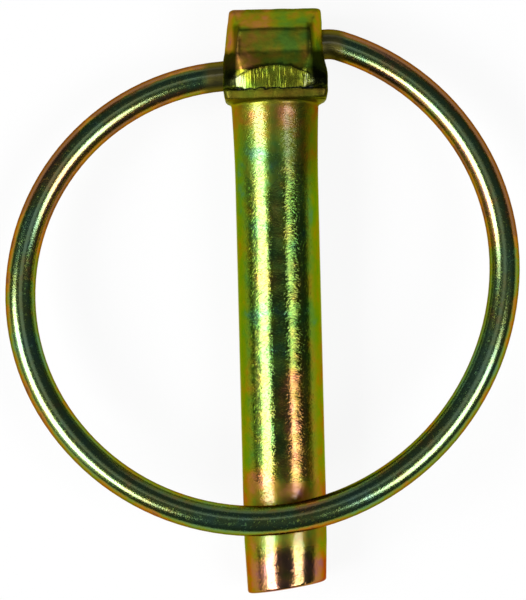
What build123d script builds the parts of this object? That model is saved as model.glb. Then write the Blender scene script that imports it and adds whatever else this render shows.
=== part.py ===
from build123d import *

import os
from math import asin, cos, degrees, radians, sin, tan

# Lynch pin: a one piece forged pin with a block head, and a sprung wire ring hinged in the head.
# It is built upright in millimetres, with the shank along Z, the head up and the front towards minus Y,
# and laid on its back at the end, so the front faces up and the head points along plus Y.
# The origin is then on the shank's axis, halfway along the plain cylinder that fills the mating hole.
os.makedirs("parts", exist_ok=True)

# Shank: a cylinder that flares into the head and narrows a little from the ring's landing to the tip.
shank_radius = 4.0
shank_length = 46.65
flare_length = 8.0
flare_growth = 0.2
landing_length = 5.4
landing_taper = 0.03
tip_length = 4.45
tip_radius = 3.77
tip_offset = 0.05
tip_slope = 8.2
tip_chamfer = 0.25

# Head: a drafted block with bevelled corners, given as a stack of levels from the flash up to the top.
head_height = 9.0
flash_height = 2.2
brow_drop = 4.34
crown_drop = 2.05
flash_half_width = 5.35
flash_half_depth = 5.38
flash_corner_width = 2.3
flash_corner_depth = 1.25
flash_side_bulge = 0.15
flash_front_bulge = 0.63
brow_half_width = 4.79
brow_half_depth = 4.3
brow_corner_width = 1.14
brow_corner_depth = 1.94
crown_half_width = 4.62
crown_half_depth = 4.15
crown_corner_width = 1.2
crown_corner_depth = 2.04
top_half_width = 4.46
top_half_depth = 1.8
top_corner_width = 0.3
top_corner_depth = 0.5
top_lean = 0.22
top_round = 0.4

# Band round the foot of the head, left where the flash was trimmed off.
band_half_width = 5.05
band_half_depth = 4.83
band_corner_width = 1.66
band_corner_depth = 1.4
band_corner_round = 1.7
band_shift = 0.11

# Foot: a drafted square plate under the band, with a shallow neck that runs into the shank.
foot_height = 1.2
foot_rim = 0.25
foot_corner = 0.6
foot_half_depth = 4.72
foot_draft = 0.15
seat_height = 0.2
neck_half_width = 4.25
neck_half_depth = 1.2
neck_drop = 0.25

# Slanted cross hole for the ring's tangs.
hinge_height = 4.1
hinge_slant = 17.0
tang_clearance = 0.05
mouth_angle = 26.0
mouth_lead = 0.2

# Ring: round spring wire bent in one plane, four arcs with a short tang at each end.
# The last two arcs have no radius of their own: they take the radii that close the ring.
wire_radius = 1.45
tang_gap = 1.6
right_reach = 4.35
left_reach = 4.3
tang_bend_radius = 3.6
right_bend = 36.0
left_bend = 13.7
right_radius = 22.6
right_sweep = 76.0
far_radius = 24.6
far_sweep = 60.0
left_sweep = 82.5
landing_gap = 0.1

# How far cutting shapes run past what they cut.
overrun = 2.0

slant = radians(hinge_slant)
landing_end = shank_length - tip_length
landing_start = landing_end - landing_length


def head_level(height, size, corner, lean=0, bulge=(0, 0)):
    """One level of the head: a rectangle with bevelled corners, its sides straight or bowed out."""
    half_width, half_depth = size
    x = half_width - bulge[0]
    y = half_depth - bulge[1]
    inner_x = x - corner[0]
    inner_y = y - corner[1]
    corners = [
        (lean - inner_x, -y),
        (lean + inner_x, -y),
        (lean + x, -inner_y),
        (lean + x, inner_y),
        (lean + inner_x, y),
        (lean - inner_x, y),
        (lean - x, inner_y),
        (lean - x, -inner_y),
    ]
    crests = [(lean, -half_depth), (lean + half_width, 0), (lean, half_depth), (lean - half_width, 0)]
    edges = []
    for side, crest in enumerate(crests):
        start, end = corners[2 * side : 2 * side + 2]
        bowed = bulge[0] if side % 2 else bulge[1]
        edges.append(ThreePointArc(start, crest, end) if bowed else Line(start, end))
        edges.append(Line(end, corners[(2 * side + 2) % len(corners)]))
    return Pos(0, 0, height) * make_face(edges)


def forged_block():
    """The head above its foot: the drafted block with its top bevels, and its flash trimmed to the band."""
    flash_size = (flash_half_width, flash_half_depth)
    flash_corner = (flash_corner_width, flash_corner_depth)
    flash_bulge = (flash_side_bulge, flash_front_bulge)
    brow_corner = (brow_corner_width, brow_corner_depth)
    crown_corner = (crown_corner_width, crown_corner_depth)
    top_corner = (top_corner_width, top_corner_depth)
    bottom = foot_height - foot_rim / 2
    brow_height = head_height - brow_drop
    crown_height = head_height - crown_drop
    block = loft(
        [
            head_level(bottom, flash_size, flash_corner, 0, flash_bulge),
            head_level(flash_height, flash_size, flash_corner, 0, flash_bulge),
            head_level(brow_height, (brow_half_width, brow_half_depth), brow_corner),
            head_level(crown_height, (crown_half_width, crown_half_depth), crown_corner, top_lean / 2),
            head_level(head_height, (top_half_width, top_half_depth), top_corner, top_lean),
        ],
        ruled=True,
    )
    block = fillet(block.faces().sort_by(Axis.Z)[-1].edges(), top_round)
    band_corner = (band_corner_width, band_corner_depth)
    trim = head_level(bottom, (band_half_width, band_half_depth), band_corner)
    trim = fillet(trim.vertices().sort_by(lambda corner: abs(corner.Y))[-4:], band_corner_round)
    return block & Pos(band_shift, 0, 0) * extrude(trim, head_height)


def foot():
    """The square plate under the band, and the neck under the plate."""
    levels = [
        (-neck_drop, neck_half_width, neck_half_depth),
        (seat_height, band_half_width - foot_draft, foot_half_depth - foot_draft),
        (foot_height - foot_rim, band_half_width, foot_half_depth),
        (foot_height, band_half_width, foot_half_depth),
    ]
    plates = []
    for height, half_width, half_depth in levels:
        plate = RectangleRounded(2 * half_width, 2 * half_depth, foot_corner)
        plates.append(Pos(band_shift, 0, height) * plate)
    return loft(plates, ruled=True)


def shank():
    """The turned profile from the head's neck to the landing, with the narrowed, slanted tip below it."""
    neck = shank_radius + flare_growth
    flare = TangentArc((shank_radius, -flare_length), (neck, -neck_drop), tangent=(0, 1))
    low_radius = shank_radius - landing_taper
    outline = [
        flare,
        Polyline((neck, -neck_drop), (neck, foot_height), (0, foot_height)),
        Polyline((0, foot_height), (0, -landing_end), (low_radius, -landing_end)),
        Polyline((low_radius, -landing_end), (shank_radius, -landing_start), (shank_radius, -flare_length)),
    ]
    body = revolve(Plane.XZ * make_face(outline), Axis.Z)
    lowest = shank_length + tip_radius * tan(radians(tip_slope))
    tip = loft(
        [
            Pos(0, 0, -landing_end) * Circle(low_radius),
            Pos(tip_offset, 0, -lowest) * Circle(tip_radius),
        ],
        ruled=True,
    )
    end = Plane(origin=(0, 0, -shank_length), z_dir=(-sin(radians(tip_slope)), 0, cos(radians(tip_slope))))
    tip = split(tip, bisect_by=end, keep=Keep.TOP)
    tip = chamfer(tip.edges().sort_by(Axis.Z)[0], tip_chamfer)
    return body + tip


def unit_arc(heading, sweep):
    """How far a clockwise arc of unit radius runs, from a heading measured clockwise from X."""
    start = radians(heading)
    end = radians(heading + sweep)
    return Vector(sin(end) - sin(start), cos(end) - cos(start))


def ring_line():
    """The wire's centre line in the ring's own plane, from tang to tang, with the hinge axis along X."""
    far_heading = right_bend + right_sweep
    left_heading = far_heading + far_sweep
    last_heading = left_heading + left_sweep
    last_sweep = 360 + left_bend - last_heading

    first_bend = unit_arc(0, right_bend) * tang_bend_radius
    last_bend = unit_arc(0, left_bend) * tang_bend_radius
    right = unit_arc(right_bend, right_sweep) * right_radius
    far = unit_arc(far_heading, far_sweep) * far_radius
    left = unit_arc(left_heading, left_sweep)
    last = unit_arc(last_heading, last_sweep)
    open_run = Vector(-left_reach - right_reach, 0) - first_bend - right - far - last_bend
    left_radius = open_run.cross(last).Z / left.cross(last).Z
    last_radius = left.cross(open_run).Z / left.cross(last).Z

    pieces = [Line((tang_gap / 2, 0), (right_reach, 0))]
    turns = [
        (tang_bend_radius, right_bend),
        (right_radius, right_sweep),
        (far_radius, far_sweep),
        (left_radius, left_sweep),
        (last_radius, last_sweep),
        (tang_bend_radius, -left_bend),
    ]
    for radius, sweep in turns:
        start = pieces[-1]
        pieces.append(JernArc(start=start @ 1, tangent=start % 1, radius=radius, arc_size=-sweep))
    pieces.append(Line(pieces[-1] @ 1, (-tang_gap / 2, 0)))
    return Wire(pieces)


def ring_tilt(line):
    """How far the ring's plane leans forward about the hinge, so the wire clears the shank it lands on."""
    far = 2 * (right_radius + far_radius)
    shank_axis = Line((0, 0), (-far * sin(slant), -far * cos(slant)))
    lever = -line.intersect(shank_axis)[0].Y
    return degrees(asin((shank_radius + wire_radius + landing_gap) / lever))


def cross_hole():
    """The slanted hole through the head, opened out at each mouth where the wire starts to bend."""
    bore_radius = wire_radius + tang_clearance
    bore = Cylinder(bore_radius, 2 * (flash_half_width + overrun) / cos(slant))
    right_start = right_reach - mouth_lead
    left_start = left_reach - mouth_lead
    depth = flash_half_width + overrun - min(right_start, left_start)
    flared = bore_radius + depth * tan(radians(mouth_angle))
    mouth = Cone(bore_radius, flared, depth, align=(Align.CENTER, Align.CENTER, Align.MIN))
    return bore + Pos(0, 0, right_start) * mouth + Rot(180, 0, 0) * Pos(0, 0, left_start) * mouth


hinge_centre = Vector(0, 0, hinge_height)
hinge_axis = Vector(cos(slant), 0, sin(slant))

wire_line = ring_line()
pin = forged_block() + foot() + shank() - Plane(hinge_centre, z_dir=hinge_axis) * cross_hole()

ring_plane = Plane(hinge_centre, x_dir=hinge_axis, z_dir=(0, -1, 0))
wire_end = Plane(wire_line @ 0, z_dir=wire_line % 0)
ring = sweep(wire_end * Circle(wire_radius), path=wire_line)
ring = ring_plane * Rot(-ring_tilt(wire_line), 0, 0) * ring

grip_middle = (flare_length + landing_start) / 2
lying = Rot(-90, 0, 0) * Pos(0, 0, grip_middle)
export_step(lying * pin, "parts/pin.step")
export_step(lying * ring, "parts/spring_ring.step")
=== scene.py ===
# %% [markdown]
# # Lynch pin
# A lynch pin locks a coupling on a farm implement: a short forged pin goes through a hole, and a sprung
# wire ring, hinged in the pin's head, snaps down over the far end so the pin can't work its way out.
# The solids come from the part's own CAD model. Here they get their finish, a camera above them and light.

# %% Load the frame
from math import atan2, cos, exp, hypot, log1p, pi, radians, sin, tan

import bmesh
import bpy
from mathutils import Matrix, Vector, noise


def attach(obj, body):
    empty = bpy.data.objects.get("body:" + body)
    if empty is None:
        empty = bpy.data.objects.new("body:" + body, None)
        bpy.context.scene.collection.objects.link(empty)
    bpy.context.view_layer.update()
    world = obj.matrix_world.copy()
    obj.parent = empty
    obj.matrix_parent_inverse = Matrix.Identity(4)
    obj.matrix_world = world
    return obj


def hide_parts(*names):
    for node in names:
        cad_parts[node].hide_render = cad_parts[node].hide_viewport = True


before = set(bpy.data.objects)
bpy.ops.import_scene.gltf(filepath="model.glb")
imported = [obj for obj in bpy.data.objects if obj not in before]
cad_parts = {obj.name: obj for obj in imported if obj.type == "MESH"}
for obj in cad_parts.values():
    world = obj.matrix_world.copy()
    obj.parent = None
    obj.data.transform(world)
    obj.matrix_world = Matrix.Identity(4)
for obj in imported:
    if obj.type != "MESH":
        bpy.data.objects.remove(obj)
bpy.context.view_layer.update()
mm_per_metre = 1000.0

# %% [markdown]
# ## Two helpers
# Colours are written as the sRGB hex values that an eye or a colour picker reads, and Blender's shaders work
# in linear light, so one function converts them. A second one adds a shader node: its settings are given by
# name, and an input takes a value, another node's output, or a node, whose first output in use is linked.
# Where the node is a colour ramp it also takes the ramp's stops, and a float curve takes its points.


# %% Helpers for colours and nodes
def linear(hex_colour):
    """A linear RGBA colour from an sRGB hex value."""
    channels = [int(hex_colour[i : i + 2], 16) / 255 for i in (1, 3, 5)]
    return [c / 12.92 if c <= 0.04045 else ((c + 0.055) / 1.055) ** 2.4 for c in channels] + [1.0]


def add(tree, kind, inputs=None, stops=(), points=(), **settings):
    """Adds a node, sets it up, and gives each named input a value or a link."""
    node = tree.nodes.new(kind)
    for name, value in settings.items():
        setattr(node, name, value)
    for name, value in (inputs or {}).items():
        if isinstance(value, bpy.types.Node):
            value = next(socket for socket in value.outputs if socket.enabled)
        if isinstance(value, bpy.types.NodeSocket):
            tree.links.new(value, node.inputs[name])
        else:
            node.inputs[name].default_value = value
    if stops:
        elements = node.color_ramp.elements
        while len(elements) < len(stops):
            elements.new(1.0)
        for element, (position, colour) in zip(elements, stops):
            element.position = position
            element.color = linear(colour)
    if points:
        curve = node.mapping.curves[0]
        curve.points[0].location = points[0]
        curve.points[1].location = points[-1]
        for point in points[1:-1]:
            curve.points.new(*point)
        node.mapping.update()
    return node


print("white as linear light:", linear("#ffffff"))

# %% [markdown]
# ## Camera
# The pin lies on its back and is seen from straight above, a little turned, as a catalogue shows it.
# The view is nearly flat, so the lens is long and far off: 400 mm above the shank's axis, and long enough to
# take in 57.8 mm of height there. For an upright picture Blender fits the sensor's 36 mm to the height.

# %% Place the camera
camera_place = (-0.00161, 0.00344, 0.400)
camera_turn = -1.411
view_height = 0.05784
camera_data = bpy.data.cameras.new("camera_above")
camera_data.lens = camera_data.sensor_width * camera_place[2] / view_height
camera = bpy.data.objects.new("camera_above", camera_data)
camera.location = camera_place
camera.rotation_euler = (0, 0, radians(camera_turn))
bpy.context.scene.collection.objects.link(camera)
bpy.context.scene.camera = camera
bpy.context.scene.view_settings.view_transform = "Standard"
print("lens in mm:", round(camera_data.lens, 1))

# %% [markdown]
# ## Floor
# The pin touches the floor with the back of its collar and with its tip, which is a little thinner, so the
# floor slopes by the same 1.3 degrees. A real photograph would be lit until the paper is white. Here the
# floor's white is its own instead, so the pin isn't lit too strongly: what the camera and the metal see of
# the floor is mostly a steady white, and for the rest matt paint, which keeps the soft shadow.

# %% Lay the floor
half_floor = 4.0
under_collar = (0, 0.0236, -0.00485)
lying_slope = -1.3
floor_corners = [(-half_floor, -half_floor, 0), (half_floor, -half_floor, 0)]
floor_corners += [(half_floor, half_floor, 0), (-half_floor, half_floor, 0)]
floor_mesh = bpy.data.meshes.new("floor")
floor_mesh.from_pydata(floor_corners, [], [(0, 1, 2, 3)])
floor = bpy.data.objects.new("floor", floor_mesh)
floor.location = under_collar
floor.rotation_euler = (radians(lying_slope), 0, 0)
bpy.context.scene.collection.objects.link(floor)
print("floor laid at", [round(mm_per_metre * v, 2) for v in floor.location], "mm")

# %% Paint the floor
# Matt white paint on board: no gloss, so it gives the eye an even white with only the shadow on it.
white_share = 0.9
floor_paint = bpy.data.materials.new("matt_white_paint_on_board")
floor_paint.use_nodes = True
paint_tree = floor_paint.node_tree
paint_tree.nodes.clear()
path = add(paint_tree, "ShaderNodeLightPath").outputs
in_view = {0: path["Is Camera Ray"], 1: path["Is Glossy Ray"]}
seen_or_mirrored = add(paint_tree, "ShaderNodeMath", in_view, operation="MAXIMUM")
in_any_view = {0: seen_or_mirrored, 1: path["Is Transmission Ray"]}
seen = add(paint_tree, "ShaderNodeMath", in_any_view, operation="MAXIMUM")
steady = add(paint_tree, "ShaderNodeMath", {0: seen, 1: white_share}, operation="MULTIPLY")
matt = add(paint_tree, "ShaderNodeBsdfDiffuse", {"Color": linear("#f4f4f4")})
white = add(paint_tree, "ShaderNodeEmission", {"Color": linear("#ffffff"), "Strength": 1.0})
painted = add(paint_tree, "ShaderNodeMixShader", {0: steady, 1: matt, 2: white})
add(paint_tree, "ShaderNodeOutputMaterial", {"Surface": painted})
floor_mesh.materials.append(floor_paint)
print("floor painted with", floor_paint.name)

# %% [markdown]
# ## Light
# Polished metal shows the room it is in, so the lamps are drawn by their reflections. A softbox on each side
# makes the two bright stripes down the shank, and the dark room above makes the band between them. A dim
# skirt under the left softbox softens its stripe's outer edge, a small low softbox carries the shine round
# the ring's lower left, and two dim cards, over the head and past it, lift the wire's edges out of the dark.
# A picture of a studio could light the scene as well, but lamps can be moved until each stripe sits right.
# All hang two metres off, so the stripes keep their place along the part.

# %% Hang the softboxes
# For each lamp: the bearing from plus X and the lean from overhead, both in degrees, then its width along
# the bearing's circle and its height along the lean, both in metres, and how bright its face is.
lamp_distance = 2.0
lamps = {
    "softbox_left": (190, 46, (1.3, 0.93), 9.6),
    "skirt_left": (198, 69, (1.5, 0.62), 0.8),
    "softbox_low_left": (221, 44, (0.45, 0.5), 6.0),
    "softbox_right": (331, 36, (1.1, 0.86), 6.5),
    "card_over_head": (90, 14, (1.0, 0.7), 0.4),
    "card_past_head": (90, 76, (1.8, 1.0), 0.28),
}
for name, (bearing, lean, (width, height), brightness) in lamps.items():
    lamp = bpy.data.lights.new(name, "AREA")
    lamp.shape = "RECTANGLE"
    lamp.size = width
    lamp.size_y = height
    lamp.energy = pi * width * height * brightness
    box = bpy.data.objects.new(name, lamp)
    flat = sin(radians(lean))
    towards = Vector((flat * cos(radians(bearing)), flat * sin(radians(bearing)), cos(radians(lean))))
    box.location = lamp_distance * towards
    box.rotation_euler = towards.to_track_quat("Z", "Y").to_euler()
    bpy.context.scene.collection.objects.link(box)
print("lamps:", ", ".join(lamps))

# %% Darken the room
# Near the floor the room is a plain grey, and from a tenth of the way up it is a dim blue grey.
room_colours = [(0.0, "#aaaaaa"), (0.1, "#353f45")]
world = bpy.data.worlds.new("dim_studio")
bpy.context.scene.world = world
world.use_nodes = True
room_tree = world.node_tree
room_tree.nodes.clear()
direction = add(room_tree, "ShaderNodeTexCoord").outputs["Generated"]
upward = add(room_tree, "ShaderNodeSeparateXYZ", {0: direction}).outputs["Z"]
room = add(room_tree, "ShaderNodeValToRGB", {"Fac": upward}, stops=room_colours)
background = add(room_tree, "ShaderNodeBackground", {"Color": room, "Strength": 1.0})
add(room_tree, "ShaderNodeOutputWorld", {"Surface": background})
print("room runs from", " to ".join(colour for _, colour in room_colours))

# %% [markdown]
# ## The forged head
# A cold forged head has no knife edges: metal flows into the die's corners only so far. The CAD solid has
# the flat faces and the crisp edges, so its mesh is cut off below the head and rebuilt as an even skin of
# small quads, which can be relaxed until the edges are as soft as on the real piece. A bevel modifier could
# round edges as well, but it stumbles over the long thin triangles that a CAD mesh is made of.

# %% Cut off the head and give it an even skin
cut_level = 21.5
spare_length = 1.0
skin_size = 0.1
weld_distance = 1e-4
along_shank = (0, 1, 0)
rough = bmesh.new()
rough.from_mesh(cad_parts["pin"].data)
bmesh.ops.scale(rough, vec=[mm_per_metre] * 3, verts=rough.verts)
bmesh.ops.remove_doubles(rough, verts=rough.verts, dist=weld_distance)
rough_parts = rough.verts[:] + rough.edges[:] + rough.faces[:]
first_cut = (0, cut_level - spare_length, 0)
bmesh.ops.bisect_plane(rough, geom=rough_parts, plane_co=first_cut, plane_no=along_shank, clear_inner=True)
bmesh.ops.holes_fill(rough, edges=[e for e in rough.edges if e.is_boundary], sides=0)
rough_mesh = bpy.data.meshes.new("rough_head")
rough.to_mesh(rough_mesh)
rough.free()

rough_head = bpy.data.objects.new("rough_head", rough_mesh)
bpy.context.scene.collection.objects.link(rough_head)
remesh = rough_head.modifiers.new("even_skin", "REMESH")
remesh.mode = "VOXEL"
remesh.voxel_size = skin_size
evaluated = rough_head.evaluated_get(bpy.context.evaluated_depsgraph_get())
forging = bmesh.new()
forging.from_mesh(evaluated.to_mesh())
bpy.data.objects.remove(rough_head)
skin_parts = forging.verts[:] + forging.edges[:] + forging.faces[:]
last_cut = (0, cut_level, 0)
bmesh.ops.bisect_plane(forging, geom=skin_parts, plane_co=last_cut, plane_no=along_shank, clear_inner=True)
print("head skin:", len(forging.faces), "faces")

# %% [markdown]
# ## Soft edges and rolled band ends
# The whole head is relaxed a little, and its front and back faces above the band some more, because their
# bends are the softest on the real piece. The trimming tool that cut the flash off left a flat band round
# the foot and pressed its two ends over: there the bend to the side is rounded, and it sinks in further
# towards the foot. The last step is the skin's unevenness, which breaks up long straight reflections. Both
# move points inwards, because the visible piece has to stay inside the CAD model's box. A sculptor's brush
# could do the same by hand, but numbers can be changed one at a time.

# %% Relax the head
round_margin = 0.5
head_start = cut_level + round_margin
relaxing = 0.5
head_passes = 8
panel_passes = 16
panel_bottom, panel_top, panel_depth = 25.8, 30.4, 2.0
head = [v for v in forging.verts if v.co.y > head_start]
every_way = {"use_axis_x": True, "use_axis_y": True, "use_axis_z": True}
for _ in range(head_passes):
    bmesh.ops.smooth_vert(forging, verts=head, factor=relaxing, **every_way)
panel = [v for v in head if panel_bottom < v.co.y < panel_top and abs(v.co.z) > panel_depth]
for _ in range(panel_passes):
    bmesh.ops.smooth_vert(forging, verts=panel, factor=relaxing, **every_way)
print("relaxed", len(head), "points,", len(panel), "of them in the panels")

# %% Roll the band's ends over and make the skin uneven
band_bottom, band_top, band_front = 23.5, 25.4, 3.0
bend_place, bend_slope, bend_softness = 2.8, 0.54, 0.35
dip_place, dip_reach, dip_depth = 3.1, 0.8, 0.17
fade_height = 0.6
band_points = 0
for v in head:
    if band_bottom < v.co.y < band_top and abs(v.co.z) > band_front:
        past_bend = abs(v.co.x) - bend_place
        rounding = bend_slope * bend_softness * log1p(exp(-abs(past_bend) / bend_softness))
        dip = dip_depth * max(0.0, 1 - ((abs(v.co.x) - dip_place) / dip_reach) ** 2)
        below_top = band_top - v.co.y
        sunk = min(1.0, below_top / fade_height) * rounding + dip * below_top / (band_top - band_bottom)
        v.co.z -= sunk * (1 if v.co.z > 0 else -1)
        band_points += 1
forging.normal_update()
uneven_start = 22.5
swells = [(1.3, 0.035), (0.4, 0.012)]
for v in head:
    if v.co.y > uneven_start:
        v.co -= v.normal * sum(depth * (1 + noise.noise(v.co / size)) for size, depth in swells)
deepest_swell = 2 * sum(depth for _, depth in swells)
print("band of", band_points, "points rolled at its ends, skin uneven by", round(deepest_swell, 3), "mm")

# %% [markdown]
# ## The shank
# The shank is round, so it is drawn down from the rim that the cut left: the rim's points keep their angles,
# and each new rim below takes its radius from the shank's profile. That keeps one closed skin from the head
# to the tip, and a true cylinder, which matters because a shiny cylinder shows every flaw in its reflections.
# A separate cylinder under the head would be easier, but its seam would show as a line.

# %% The shank's profile
seat = 22.4
grip_radius = 4.0
flare_length, flare_run, flare_growth = 8.0, 7.75, 0.2
landing_start, landing_length, landing_taper = 36.8, 5.4, 0.03
tip_start = landing_start + landing_length
tip_run, tip_narrowing, tip_shift = 4.99, 0.2, 0.05
shank_end = 46.65
tip_slope = 8.2
end_slope = tan(radians(tip_slope))


def shank_profile(level):
    """The shank's radius at a level over the seat, and its middle's sideways shift, both in mm."""
    if level > -flare_length:
        return grip_radius + flare_growth * ((level + flare_length) / flare_run) ** 2, 0.0
    if level > -landing_start:
        return grip_radius, 0.0
    if level > -tip_start:
        return grip_radius - landing_taper * (-landing_start - level) / landing_length, 0.0
    share = (-tip_start - level) / tip_run
    return grip_radius - landing_taper - tip_narrowing * share, tip_shift * share


print("shank radius at the tip's end:", round(shank_profile(-shank_end)[0], 3), "mm")

# %% The rims, from the cut to the middle of the end
# Each rim has a level over the seat, how far it leans with the end's slope, a radius and a sideways shift.
# The first four spread out from the small skin, then come runs by first level, spacing and number of rims.
# The tip's rims lean by their share of the way to the end. Those of the end have an inset and a lift.
levels = [cut_level - seat - skin_size * 2**step for step in range(4)]
rim_runs = [(-2.5, 0.9, 20), (-20.5, 1.2, 14), (-landing_start, 1.4, 4)]
for first, spacing, count in rim_runs:
    levels += [first - spacing * step for step in range(count)]
levels += [-tip_start]
tip_shares = (0.25, 0.5, 0.75, 0.9, 0.945)
rims = [(level, 0.0, *shank_profile(level)) for level in levels]
for share in tip_shares:
    level = -tip_start - share * (shank_end - tip_start)
    rims.append((level, share, *shank_profile(level)))
end_radius, end_shift = shank_profile(-shank_end)
end_lift = 0.01
end_rims = [(0.03, 0.14), (0.1, 0.06), (0.22, end_lift), (1.2, end_lift), (2.4, end_lift), (3.3, end_lift)]
for inset, lift in end_rims:
    rims.append((-shank_end + lift, 1.0, end_radius - inset, end_shift))
print("shank planned as", len(rims), "rims")

# %% Draw the shank down to the tip
cut_rim = [v for v in forging.verts if v.is_boundary]
cut_rim.sort(key=lambda v: atan2(v.co.x, v.co.z))
for v in forging.verts:
    if v.co.y < head_start:
        trueing = shank_profile(v.co.y - seat)[0] / hypot(v.co.x, v.co.z)
        v.co.x *= trueing
        v.co.z *= trueing
angles = [atan2(v.co.x, v.co.z) for v in cut_rim]
upper_rim = cut_rim
for level, leaning_share, radius, shift in rims:
    lower_rim = []
    for angle in angles:
        across = shift + radius * sin(angle)
        along = seat + level + leaning_share * across * end_slope
        lower_rim.append(forging.verts.new((across, along, radius * cos(angle))))
    for i, point in enumerate(lower_rim):
        forging.faces.new((upper_rim[i - 1], upper_rim[i], point, lower_rim[i - 1]))
    upper_rim = lower_rim
forging.faces.new(upper_rim)
bmesh.ops.recalc_face_normals(forging, faces=forging.faces)
print("shank drawn through", len(rims), "rims of", len(cut_rim), "points")

# %% Place the forging
bmesh.ops.scale(forging, vec=[1 / mm_per_metre] * 3, verts=forging.verts)
for face in forging.faces:
    face.smooth = True
pin_mesh = bpy.data.meshes.new("pin_forging")
forging.to_mesh(pin_mesh)
forging.free()
pin_forging = bpy.data.objects.new("pin_forging", pin_mesh)
bpy.context.scene.collection.objects.link(pin_forging)
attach(pin_forging, "pin")
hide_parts("pin")
print("pin_forging measures", [round(mm_per_metre * v, 2) for v in pin_forging.dimensions], "mm")

# %% [markdown]
# ## Yellow chromate on zinc plate
# Both pieces are steel, zinc plated and dipped in a yellow chromate. The clear film left on the zinc is about
# as thick as a wavelength of light, so it shows colours in a fixed order as it thickens: teal, green, yellow
# green, gold, copper, rose and mauve. One number, the film's thickness, is worked out for each place, and a
# colour ramp turns it into the metal's colour. Painting the colours one by one would also do, but then they
# wouldn't follow each other as they do on the real film.


# %% Helpers for the finishes
def start(name):
    """A new material, its empty tree, and places on the piece in millimetres."""
    material = bpy.data.materials.new(name)
    material.use_nodes = True
    tree = material.node_tree
    tree.nodes.clear()
    metres = add(tree, "ShaderNodeTexCoord").outputs["Object"]
    place = add(tree, "ShaderNodeVectorMath", {0: metres, "Scale": mm_per_metre}, operation="SCALE")
    return material, tree, place


def window(tree, value, low, high, soft):
    """One between low and high, fading to nothing over a soft margin outside."""
    rise = add(tree, "ShaderNodeMapRange", {"Value": value, "From Min": low - soft, "From Max": low})
    fall = add(tree, "ShaderNodeMapRange", {"Value": value, "From Min": high + soft, "From Max": high})
    return add(tree, "ShaderNodeMath", {0: rise, 1: fall}, operation="MULTIPLY")


pin_foot, pin_top = -25.0, 32.0


def curve_points(points, low, high):
    """A curve's points, with places from low to high in mm turned to the nought to one that a curve takes."""
    return [((spot - low) / (high - low), value) for spot, value in points]


print("curves run along the pin from", pin_foot, "to", pin_top, "mm")

# %% [markdown]
# ## The film on the shank
# A dip drains off slowly and leaves more film where the liquid gathers: at the tip, just above the place
# where the ring lies across, and close under the head. A curve along the pin gives that. Pools of a few
# millimetres and blots of under one break it up. Low on the right is a rose coloured mark, as a rinse leaves
# when it runs off. Under the head on the right is a smoky mark of slightly thicker film, which is also
# darkened there as painted shade. Straight bands alone would look printed.

# %% Film along the shank
drained_film = [
    (-25.0, 0.92), (-22.15, 0.84), (-19.3, 0.6), (-17.02, 0.6), (-14.74, 0.78),
    (-11.89, 0.54), (-2.77, 0.48), (5.21, 0.42), (13.19, 0.4), (17.75, 0.46),
    (20.03, 0.54), (21.74, 0.64), (23.45, 0.58), (26.3, 0.55), (32.0, 0.6),
]
pool_size, pool_depth = 3.2, 1.0
blot_size, blot_depth = 0.9, 0.45
forging_finish, tree, place = start("yellow_chromate_on_forged_steel")
x, y, z = add(tree, "ShaderNodeSeparateXYZ", {0: place}).outputs
on_pin = add(tree, "ShaderNodeMapRange", {"Value": y, "From Min": pin_foot, "From Max": pin_top})
drained_points = curve_points(drained_film, pin_foot, pin_top)
drained = add(tree, "ShaderNodeFloatCurve", {"Value": on_pin}, points=drained_points)
pool_look = {"Vector": place, "Scale": 1 / pool_size, "Detail": 2.0, "Roughness": 0.6}
pools = add(tree, "ShaderNodeTexNoise", pool_look)
blot_look = {"Vector": place, "Scale": 1 / blot_size, "Detail": 3.0, "Roughness": 0.6}
blots = add(tree, "ShaderNodeTexNoise", blot_look)
print("film drained through", len(drained_film), "places, with pools of", pool_size, "mm")

# %% Rinse mark and smoky mark
# A stretch or a breadth says from where to where it is full, and how far it fades outside, all in mm.
rinse_extra, smoke_extra = 0.26, 0.12
rinse_wander = 3.0
rinse_breadth, rinse_stretch = (2.1, 3.3, 1.0), (-10.0, -5.0, 4.5)
smoky_stretch = (17.0, 22.0, 4.0)
wander = add(tree, "ShaderNodeMath", {0: pools, 1: rinse_wander, 2: x}, operation="MULTIPLY_ADD")
rinse_across = window(tree, wander, *rinse_breadth)
rinse_along = window(tree, y, *rinse_stretch)
rinse = add(tree, "ShaderNodeMath", {0: rinse_across, 1: rinse_along}, operation="MULTIPLY")
to_the_right = {"Value": x, "From Min": -0.5, "From Max": 1.2}
on_right = add(tree, "ShaderNodeMapRange", to_the_right, interpolation_type="SMOOTHSTEP")
under_head = window(tree, y, *smoky_stretch)
smoky = add(tree, "ShaderNodeMath", {0: on_right, 1: under_head}, operation="MULTIPLY")

shank_film = add(tree, "ShaderNodeMath", {0: rinse, 1: rinse_extra, 2: drained}, operation="MULTIPLY_ADD")
for layer, depth in ((smoky, smoke_extra), (pools, pool_depth), (blots, blot_depth)):
    shank_film = add(tree, "ShaderNodeMath", {0: layer, 1: depth, 2: shank_film}, operation="MULTIPLY_ADD")
noise_middle = (pool_depth + blot_depth) / 2
shank_film = add(tree, "ShaderNodeMath", {0: shank_film, 1: noise_middle}, operation="SUBTRACT")
print("film marked by rinse and smoke")

# %% [markdown]
# ## The film on the head
# The head's film lies in patches, thicker on the left than on the right, and nowhere as thin as the teal on
# the ring. The foot plate is a little more golden than the yellow green band over it. The head's film is
# worked out apart from the shank's, and the two are blended where the shank meets the head.

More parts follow.
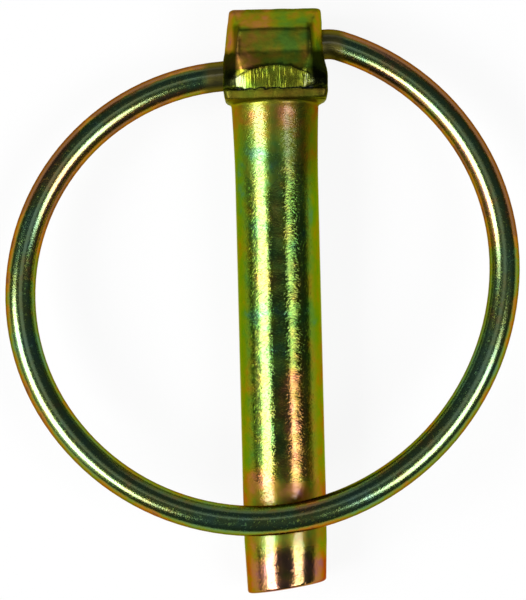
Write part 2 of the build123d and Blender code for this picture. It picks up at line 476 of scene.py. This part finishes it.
# %% Film on the head
patch_size, patch_depth = 1.7, 1.1
thinnest = 0.36
foot_patch_depth = 0.4
foot_stretch = (22.0, 25.4, 0.2)
patch_look = {"Vector": place, "Scale": 1 / patch_size, "Detail": 2.0, "Roughness": 0.5}
patches = add(tree, "ShaderNodeTexNoise", patch_look)
left_to_right = {"Value": x, "From Min": -1.5, "From Max": 1.5, "To Min": 0.2, "To Max": -0.02}
base_film = add(tree, "ShaderNodeMapRange", left_to_right, interpolation_type="SMOOTHSTEP")
patched = add(tree, "ShaderNodeMath", {0: patches, 1: patch_depth, 2: base_film}, operation="MULTIPLY_ADD")
block_film = add(tree, "ShaderNodeMath", {0: patched, 1: thinnest}, operation="MAXIMUM")
foot_to_band = {"Value": y, "From Min": 23.4, "From Max": 23.7, "To Min": 0.42, "To Max": 0.34}
foot_base = add(tree, "ShaderNodeMapRange", foot_to_band)
foot_patches = {0: patches, 1: foot_patch_depth, 2: foot_base}
foot_film = add(tree, "ShaderNodeMath", foot_patches, operation="MULTIPLY_ADD")
on_foot = window(tree, y, *foot_stretch)
head_film = add(tree, "ShaderNodeMix", {"Factor": on_foot, "A": block_film, "B": foot_film})
at_head = {"Value": y, "From Min": 21.6, "From Max": 22.6}
on_head = add(tree, "ShaderNodeMapRange", at_head, interpolation_type="SMOOTHSTEP")
thickness = add(tree, "ShaderNodeMix", {"Factor": on_head, "A": shank_film, "B": head_film})
print("film on the head lies in patches of", patch_size, "mm")

# %% From thickness to colour
# Metal that is seen at a low angle shows a second colour, the specular tint, which follows the film too.
film_colours = [
    (0.15, "#467c62"), (0.32, "#588430"), (0.46, "#6c8426"), (0.6, "#828222"),
    (0.72, "#967826"), (0.84, "#a8743c"), (0.93, "#a86c4c"), (1.0, "#9c6660"),
]
edge_colours = [(0.5, "#d4d424"), (0.72, "#d8b428"), (0.9, "#d89050")]
head_thinning = -0.3
film = add(tree, "ShaderNodeValToRGB", {"Fac": thickness}, stops=film_colours)
thinned = add(tree, "ShaderNodeMath", {0: on_head, 1: head_thinning, 2: thickness}, operation="MULTIPLY_ADD")
edge_tint = add(tree, "ShaderNodeValToRGB", {"Fac": thinned}, stops=edge_colours)
print("film runs through", len(film_colours), "colours")

# %% [markdown]
# ## Dark creases
# Painted shade: the film is darkened where shade falls in the forging's creases and corners: under the band,
# along its arch, down the bevelled corners, round the panel, over the foot and its ends and along the top
# rim.
# Each crease is a stretch of the head, by its height over the seat and its distance from the middle, with a
# ragged edge from a fine noise. They could be painted as an image, but a few stretches are easier to move and
# are sharp at any size.

# %% Darken the creases
ragged_size, ragged_reach = 0.6, 0.5
arch_bow = 0.085
ragged = add(tree, "ShaderNodeTexNoise", {"Vector": place, "Scale": 1 / ragged_size, "Detail": 2.0})
ragged_y = add(tree, "ShaderNodeMath", {0: ragged, 1: ragged_reach, 2: y}, operation="MULTIPLY_ADD")
ragged_seat = seat + ragged_reach / 2
over_seat = add(tree, "ShaderNodeMath", {0: ragged_y, 1: ragged_seat}, operation="SUBTRACT")
side = add(tree, "ShaderNodeMath", {0: x}, operation="ABSOLUTE")
bow = add(tree, "ShaderNodeMath", {0: x, 1: x}, operation="MULTIPLY")
arch = add(tree, "ShaderNodeMath", {0: bow, 1: arch_bow, 2: over_seat}, operation="MULTIPLY_ADD")
whole_width = (0.0, 6.0, 0.5)
panel_width = (0.0, 3.3, 0.5)
# For each crease: the height it goes by, its stretch of that, its breadth from the middle, its darkness.
creases = {
    "under_band": (over_seat, (1.17, 1.25, 0.1), whole_width, 1.0),
    "over_arch": (arch, (3.45, 3.55, 0.22), panel_width, 0.75),
    "brow": (over_seat, (4.62, 4.7, 0.25), panel_width, 0.4),
    "bevelled_corners": (over_seat, (1.6, 4.6, 0.5), (3.75, 5.0, 0.4), 0.95),
    "foot_ends": (over_seat, (0.0, 1.1, 0.1), (4.4, 5.2, 0.5), 0.55),
    "panel_edges": (over_seat, (4.4, 7.2, 0.4), (3.3, 3.7, 0.3), 0.7),
    "top_rim": (over_seat, (8.8, 9.6, 0.3), whole_width, 0.45),
    "foot": (over_seat, (0.0, 1.1, 0.1), whole_width, 0.2),
}
# Painted shade: under the head on the right the film is darkened by this share.
smoky_painted_shade = 0.45
# Painted shade: the creases, corners, foot and the smoky mark are mixed towards this dark colour.
painted_shade_colour = linear("#12160e")
shades = [add(tree, "ShaderNodeMath", {0: smoky, 1: smoky_painted_shade}, operation="MULTIPLY")]
for crease_height, stretch, breadth, darkness in creases.values():
    on_stretch = window(tree, crease_height, *stretch)
    on_breadth = window(tree, side, *breadth)
    crease = add(tree, "ShaderNodeMath", {0: on_stretch, 1: on_breadth}, operation="MULTIPLY")
    shades.append(add(tree, "ShaderNodeMath", {0: crease, 1: darkness}, operation="MULTIPLY"))
for shade in shades:
    film = add(tree, "ShaderNodeMix", {"Factor": shade, "A": film, "B": painted_shade_colour}, data_type="RGBA")
print("creases:", ", ".join(creases))

# %% [markdown]
# ## Marks on the shank
# The shank was tumbled with other pins, so it carries short nicks at all angles. They are too fine to model,
# and they catch the light beside the bright stripes. They are drawn as stretched noise on the shank's
# unrolled surface, at several angles, over a fine grain and slow waves that make the stripes waver. The
# front's middle took fewer knocks, and the left flank the most.

# %% Nicks, grain and waves
# Heights here are in units of 4.6 micrometres. The real nicks and grain are finer than these, which are
# drawn just wide enough to show.
nick_width, nick_length = 0.11, 0.42
grain_size, grain_height = 0.2, 1.3
wave_size, wave_height = 2.6, 14.0
turn = add(tree, "ShaderNodeMath", {0: x, 1: z}, operation="ARCTAN2")
round_shank = add(tree, "ShaderNodeMath", {0: turn, 1: grip_radius}, operation="MULTIPLY")
unrolled = add(tree, "ShaderNodeCombineXYZ", {"X": round_shank, "Y": y})
grain_look = {"Vector": place, "Scale": 1 / grain_size, "Detail": 2.0, "Roughness": 0.7}
grain = add(tree, "ShaderNodeTexNoise", grain_look)
nicked = add(tree, "ShaderNodeMath", {0: grain, 1: grain_height}, operation="MULTIPLY")
stretching = (1 / nick_width, 1 / nick_length, 1.0)
nick_angles = (55, -60, 35, -75)
for angle in nick_angles:
    rotation = {"Vector": unrolled, "Angle": radians(angle)}
    turned = add(tree, "ShaderNodeVectorRotate", rotation, rotation_type="Z_AXIS")
    # The last term takes each angle to a layer of the noise of its own, so no two sets of nicks are alike.
    own_layer = {0: turned, 1: stretching, 2: (0, 0, angle)}
    stretched = add(tree, "ShaderNodeVectorMath", own_layer, operation="MULTIPLY_ADD")
    streaks = add(tree, "ShaderNodeTexNoise", {"Vector": stretched, "Scale": 1.0, "Detail": 0.0})
    crests = {"Value": streaks, "From Min": 0.6, "From Max": 0.78}
    nicks = add(tree, "ShaderNodeMapRange", crests, interpolation_type="SMOOTHSTEP")
    nicked = add(tree, "ShaderNodeMath", {0: nicked, 1: nicks}, operation="ADD")
print("nicks at", len(nick_angles), "angles,", nick_width, "by", nick_length, "mm")

# %% Where the shank was knocked
knocks_across = [
    (-4.0, 0.85), (-1.76, 0.85), (-0.96, 0.5), (-0.32, 0.26), (0.48, 0.3), (1.12, 0.55), (4.0, 0.55),
]
knock_strength = 2.0
shank_width = {"Value": x, "From Min": -grip_radius, "From Max": grip_radius}
across_shank = add(tree, "ShaderNodeMapRange", shank_width)
knock_points = curve_points(knocks_across, -grip_radius, grip_radius)
knocks = add(tree, "ShaderNodeFloatCurve", {"Value": across_shank}, points=knock_points)
towards_tip = {"Value": y, "From Min": -17.0, "From Max": -20.0, "To Min": 1.0, "To Max": 0.75}
calmer_tip = add(tree, "ShaderNodeMapRange", towards_tip)
for strength in (knocks, calmer_tip, knock_strength):
    nicked = add(tree, "ShaderNodeMath", {0: nicked, 1: strength}, operation="MULTIPLY")
waves = add(tree, "ShaderNodeTexNoise", {"Vector": place, "Scale": 1 / wave_size, "Detail": 1.0})
shank_marks = add(tree, "ShaderNodeMath", {0: waves, 1: wave_height, 2: nicked}, operation="MULTIPLY_ADD")
print("knocks follow", len(knocks_across), "places across the shank")

# %% [markdown]
# ## Marks on the head
# The head keeps the grain of the die that it was struck in, and the band the upright drag marks of the
# trimming tool. Both are bump: a drag mark is a few hundredths of a millimetre deep, and the shapes that a
# hand would feel are in the mesh already.

# %% Die grain and drag marks
# Real drag marks are finer than these, which are drawn just wide enough to show.
die_grain_size, die_grain_height = 0.35, 5.0
drag_width, drag_length, drag_height = 0.13, 2.0, 14.0
arch_stretch, band_stretch = (0.0, 3.4, 0.1), (1.2, 4.0, 0.05)
mark_unit = 0.0046e-3
die_look = {"Vector": place, "Scale": 1 / die_grain_size, "Detail": 4.0, "Roughness": 0.65}
die_grain = add(tree, "ShaderNodeTexNoise", die_look)
die_marks = add(tree, "ShaderNodeMath", {0: die_grain, 1: die_grain_height}, operation="MULTIPLY")
dragging = (1 / drag_width, 1 / drag_length, 1 / drag_length)
dragged = add(tree, "ShaderNodeVectorMath", {0: place, 1: dragging}, operation="MULTIPLY")
drag = add(tree, "ShaderNodeTexNoise", {"Vector": dragged, "Scale": 1.0, "Detail": 1.0})
drag_marks = add(tree, "ShaderNodeMath", {0: drag, 1: drag_height}, operation="MULTIPLY")

depth_of_place = add(tree, "ShaderNodeMath", {0: z}, operation="ABSOLUTE")
face_range = {"Value": depth_of_place, "From Min": 4.2, "From Max": 4.4}
on_face = add(tree, "ShaderNodeMapRange", face_range)
below_arch = window(tree, arch, *arch_stretch)
over_foot = window(tree, over_seat, *band_stretch)
between = add(tree, "ShaderNodeMath", {0: below_arch, 1: over_foot}, operation="MULTIPLY")
on_band = add(tree, "ShaderNodeMath", {0: on_face, 1: between}, operation="MULTIPLY")
head_marks = add(tree, "ShaderNodeMix", {"Factor": on_band, "A": die_marks, "B": drag_marks})
marks = add(tree, "ShaderNodeMix", {"Factor": on_head, "A": shank_marks, "B": head_marks})
relief = add(tree, "ShaderNodeBump", {"Height": marks, "Distance": mark_unit, "Strength": 1.0})
print("drag marks", drag_width, "mm wide on the band")

# %% [markdown]
# ## Gloss of the forging
# Zinc from a bright bath starts out at a roughness of about 0.15. The shank is near that, duller where the
# ring rubs on it and towards the head, and worn in places. The head, struck in a die, is duller still, apart
# from the band that the trimming tool drew smooth. A clear seal lies over the film. It is set to show where
# the shank is turned to the eye, more on the left and on the tip, and on the head at the band's rolled ends.
# There it whitens the highlights, which without it would be as yellow as the metal.

# %% Dull and bright places
dullness = [
    (-25.0, 0.12), (-21.295, 0.13), (-19.87, 0.3), (-18.16, 0.36), (-15.025, 0.34),
    (-13.03, 0.17), (-10.75, 0.14), (-2.2, 0.14), (12.62, 0.17), (16.61, 0.25),
    (20.03, 0.33), (21.74, 0.33), (22.31, 0.36), (23.45, 0.36), (24.02, 0.24),
    (25.445, 0.24), (26.015, 0.42), (27.155, 0.42), (27.725, 0.36), (32.0, 0.36),
]
wear_size, wear_dullness = 2.0, 0.09
dull_points = curve_points(dullness, pin_foot, pin_top)
dull = add(tree, "ShaderNodeFloatCurve", {"Value": on_pin}, points=dull_points)
wear_look = {"Vector": place, "Scale": 1 / wear_size, "Detail": 2.0, "Roughness": 0.6}
wear = add(tree, "ShaderNodeTexNoise", wear_look)
wear_range = {"Value": wear, "From Min": 0.4, "From Max": 0.7, "To Max": wear_dullness}
worn = add(tree, "ShaderNodeMapRange", wear_range)
gloss = add(tree, "ShaderNodeMath", {0: dull, 1: worn}, operation="ADD")
print("gloss follows", len(dullness), "places along the pin")

# %% The seal and the shader
# Chromated zinc on a forging gives the eye a yellow green metal with soft rainbow patches and pale stripes.
facing = add(tree, "ShaderNodeLayerWeight", {"Blend": 0.5}).outputs["Facing"]
facing_us = {"Value": facing, "From Min": 0.12, "From Max": 0.24, "To Min": 0.5, "To Max": 0.0}
shank_seal = add(tree, "ShaderNodeMapRange", facing_us)
band_end_breadth, band_end_stretch = (2.95, 3.5, 0.25), (1.35, 2.3, 0.25)
at_band_sides = window(tree, side, *band_end_breadth)
low_on_band = window(tree, over_seat, *band_end_stretch)
band_ends = add(tree, "ShaderNodeMath", {0: at_band_sides, 1: low_on_band}, operation="MULTIPLY")
seal = add(tree, "ShaderNodeMix", {"Factor": on_head, "A": shank_seal, "B": band_ends})
tip_side = {"Value": y, "From Min": -17.0, "From Max": -20.0, "To Min": 1.0, "To Max": 2.0}
more_on_tip = add(tree, "ShaderNodeMapRange", tip_side)
left_side = {"Value": x, "From Min": -1.0, "From Max": 1.0, "To Min": 1.4, "To Max": 1.0}
more_on_left = add(tree, "ShaderNodeMapRange", left_side)
more = add(tree, "ShaderNodeMath", {0: more_on_tip, 1: more_on_left}, operation="MULTIPLY")
seal = add(tree, "ShaderNodeMath", {0: seal, 1: more}, operation="MULTIPLY", use_clamp=True)
plated = {"Base Color": film, "Metallic": 1.0, "Roughness": gloss, "Normal": relief}
plated["Specular Tint"] = edge_tint
sealed = {"Coat Weight": seal, "Coat Roughness": 0.12, "Coat IOR": 1.7, "Coat Normal": relief}
shader = add(tree, "ShaderNodeBsdfPrincipled", {**plated, **sealed})
add(tree, "ShaderNodeOutputMaterial", {"Surface": shader})
pin_mesh.materials.append(forging_finish)
print("pin_forging is finished in", forging_finish.name)

# %% [markdown]
# ## Chromate on the spring wire
# The ring is drawn wire: smoother than the forging, darker, and teal where the film is thin. The film is
# thicker on the flanks of its upper half and along its outer rim, which turn gold and copper. On the inside
# of its lowest part, where the ring crosses the shank, more film is added as a painted reflection of the
# shank. Beside the head the wire is duller and painted olive, a painted reflection of the head and its
# shade. The flanks are found from the ring's own shape: how far the surface leans out from, or in towards,
# the ring's middle. The ring keeps its CAD mesh, because a swept wire is already the true shape.

# %% The wire's film
wire_finish, wire_tree, wire_place = start("yellow_chromate_on_spring_wire")
ring_x, ring_y, _ = add(wire_tree, "ShaderNodeSeparateXYZ", {0: wire_place}).outputs
ring_middle = (-1.66, 5.2, 0.0)
in_plane = (1, 1, 0)
from_middle = add(wire_tree, "ShaderNodeVectorMath", {0: wire_place, 1: ring_middle}, operation="SUBTRACT")
spoke = add(wire_tree, "ShaderNodeVectorMath", {0: from_middle, 1: in_plane}, operation="MULTIPLY")
outward = add(wire_tree, "ShaderNodeVectorMath", {0: spoke}, operation="NORMALIZE")
surface = add(wire_tree, "ShaderNodeTexCoord").outputs["Normal"]
leaning = add(wire_tree, "ShaderNodeVectorMath", {0: outward, 1: surface}, operation="DOT_PRODUCT")
wire_pool_size, wire_blot_size, wire_blot_depth = 5.0, 0.8, 0.35
wire_pool_look = {"Vector": wire_place, "Scale": 1 / wire_pool_size, "Detail": 3.0, "Roughness": 0.6}
wire_film = add(wire_tree, "ShaderNodeTexNoise", wire_pool_look)
wire_blot_look = {"Vector": wire_place, "Scale": 1 / wire_blot_size, "Detail": 2.0, "Roughness": 0.6}
wire_blots = add(wire_tree, "ShaderNodeTexNoise", wire_blot_look)
blotted = {0: wire_blots, 1: wire_blot_depth, 2: wire_film}
wire_film = add(wire_tree, "ShaderNodeMath", blotted, operation="MULTIPLY_ADD")
print("wire film in pools of", wire_pool_size, "mm round", ring_middle)

# %% Thicker film on the flanks
# Each flank has the lean at which it starts and is full, and how much film it adds.
flanks = {"inner": (-0.3, -0.65, 0.26), "outer": (0.35, 0.75, 0.3), "rim": (0.6, 0.85, 0.14)}
flank_films = {}
for name, (begins, full, extra) in flanks.items():
    lean_range = {"Value": leaning, "From Min": begins, "From Max": full, "To Max": extra}
    flank_films[name] = add(wire_tree, "ShaderNodeMapRange", lean_range, interpolation_type="SMOOTHSTEP")
both_flanks = {0: flank_films["inner"], 1: flank_films["outer"]}
flank_film = add(wire_tree, "ShaderNodeMath", both_flanks, operation="ADD")
upper_range = {"Value": ring_y, "From Min": 2.0, "From Max": 13.0}
upper_half = add(wire_tree, "ShaderNodeMapRange", upper_range, interpolation_type="SMOOTHSTEP")
# Painted reflection: inside the ring's lowest part, where it crosses the shank, added film turns the wire
# olive gold, standing in for the shank's reflection.
shank_reflection_share = 0.4
bottom_stretch = (-22.0, -12.0, 5.0)
at_bottom = window(wire_tree, ring_y, *bottom_stretch)
painted_shank_reflection = add(wire_tree, "ShaderNodeMath", {0: at_bottom, 1: shank_reflection_share}, operation="MULTIPLY")
for layer, share in ((flank_film, upper_half), (flank_films["inner"], painted_shank_reflection), (flank_films["rim"], 1.0)):
    more_film = {0: layer, 1: share, 2: wire_film}
    wire_film = add(wire_tree, "ShaderNodeMath", more_film, operation="MULTIPLY_ADD")
print("flanks:", ", ".join(flanks))

# %% The wire's colours
wire_colours = [
    (0.4, "#5c8a6e"), (0.6, "#6a9052"), (0.74, "#7c8c38"),
    (0.84, "#9c8030"), (0.92, "#b07834"), (1.0, "#8e6444"),
]
wire_colour = add(wire_tree, "ShaderNodeValToRGB", {"Fac": wire_film}, stops=wire_colours)
ring_side = add(wire_tree, "ShaderNodeMath", {0: ring_x}, operation="ABSOLUTE")
near_head_breadth, near_head_stretch = (0.0, 6.3, 0.8), (22.0, 40.0, 1.0)
near_middle = window(wire_tree, ring_side, *near_head_breadth)
near_top = window(wire_tree, ring_y, *near_head_stretch)
beside_head = add(wire_tree, "ShaderNodeMath", {0: near_middle, 1: near_top}, operation="MULTIPLY")
# Painted reflection: beside the head the wire is mixed to this olive, which stands in for the head's
# reflection and shade.
painted_head_reflection_olive = linear("#6c6428")
painted_reflection_near_head = {"Factor": beside_head, "A": wire_colour, "B": painted_head_reflection_olive}
wire_colour = add(wire_tree, "ShaderNodeMix", painted_reflection_near_head, data_type="RGBA")
print("wire film runs through", len(wire_colours), "colours")

# %% The wire's gloss and shader
# Chromated spring wire gives the eye a dark teal metal with one thin white line of light and warm edges.
# Its drawing grain is finer than the 0.15 mm used here, which is just coarse enough to show.
speck_size, wire_grain_size, wire_grain_height = 0.3, 0.15, 0.009e-3
speck_look = {"Vector": wire_place, "Scale": 1 / speck_size, "Detail": 2.0, "Roughness": 0.6}
specks = add(wire_tree, "ShaderNodeTexNoise", speck_look)
speck_range = {"Value": specks, "From Min": 0.55, "From Max": 0.7, "To Min": 0.19, "To Max": 0.32}
speckled = add(wire_tree, "ShaderNodeMapRange", speck_range, interpolation_type="SMOOTHSTEP")
rubbed_dull = 0.42
wire_gloss = add(wire_tree, "ShaderNodeMix", {"Factor": beside_head, "A": speckled, "B": rubbed_dull})
wire_grain_look = {"Vector": wire_place, "Scale": 1 / wire_grain_size, "Detail": 3.0, "Roughness": 0.65}
wire_grain = add(wire_tree, "ShaderNodeTexNoise", wire_grain_look)
wire_bumps = {"Height": wire_grain, "Distance": wire_grain_height, "Strength": 1.0}
wire_relief = add(wire_tree, "ShaderNodeBump", wire_bumps)
wire_facing = add(wire_tree, "ShaderNodeLayerWeight", {"Blend": 0.5}).outputs["Facing"]
wire_facing_us = {"Value": wire_facing, "From Min": 0.13, "From Max": 0.26, "To Min": 1.0, "To Max": 0.0}
wire_seal = add(wire_tree, "ShaderNodeMapRange", wire_facing_us)
wire_plated = {"Base Color": wire_colour, "Metallic": 1.0, "Roughness": wire_gloss, "Normal": wire_relief}
warm_edge = linear("#b8964c")
wire_plated["Specular Tint"] = warm_edge
wire_sealed = {"Coat Weight": wire_seal, "Coat Roughness": 0.13, "Coat IOR": 1.9, "Coat Normal": wire_relief}
wire_shader = add(wire_tree, "ShaderNodeBsdfPrincipled", {**wire_plated, **wire_sealed})
add(wire_tree, "ShaderNodeOutputMaterial", {"Surface": wire_shader})
ring_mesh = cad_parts["spring_ring"].data
ring_mesh.materials.clear()
ring_mesh.materials.append(wire_finish)
print("spring_ring is finished in", wire_finish.name)

# %% Finish
print("scene finished")
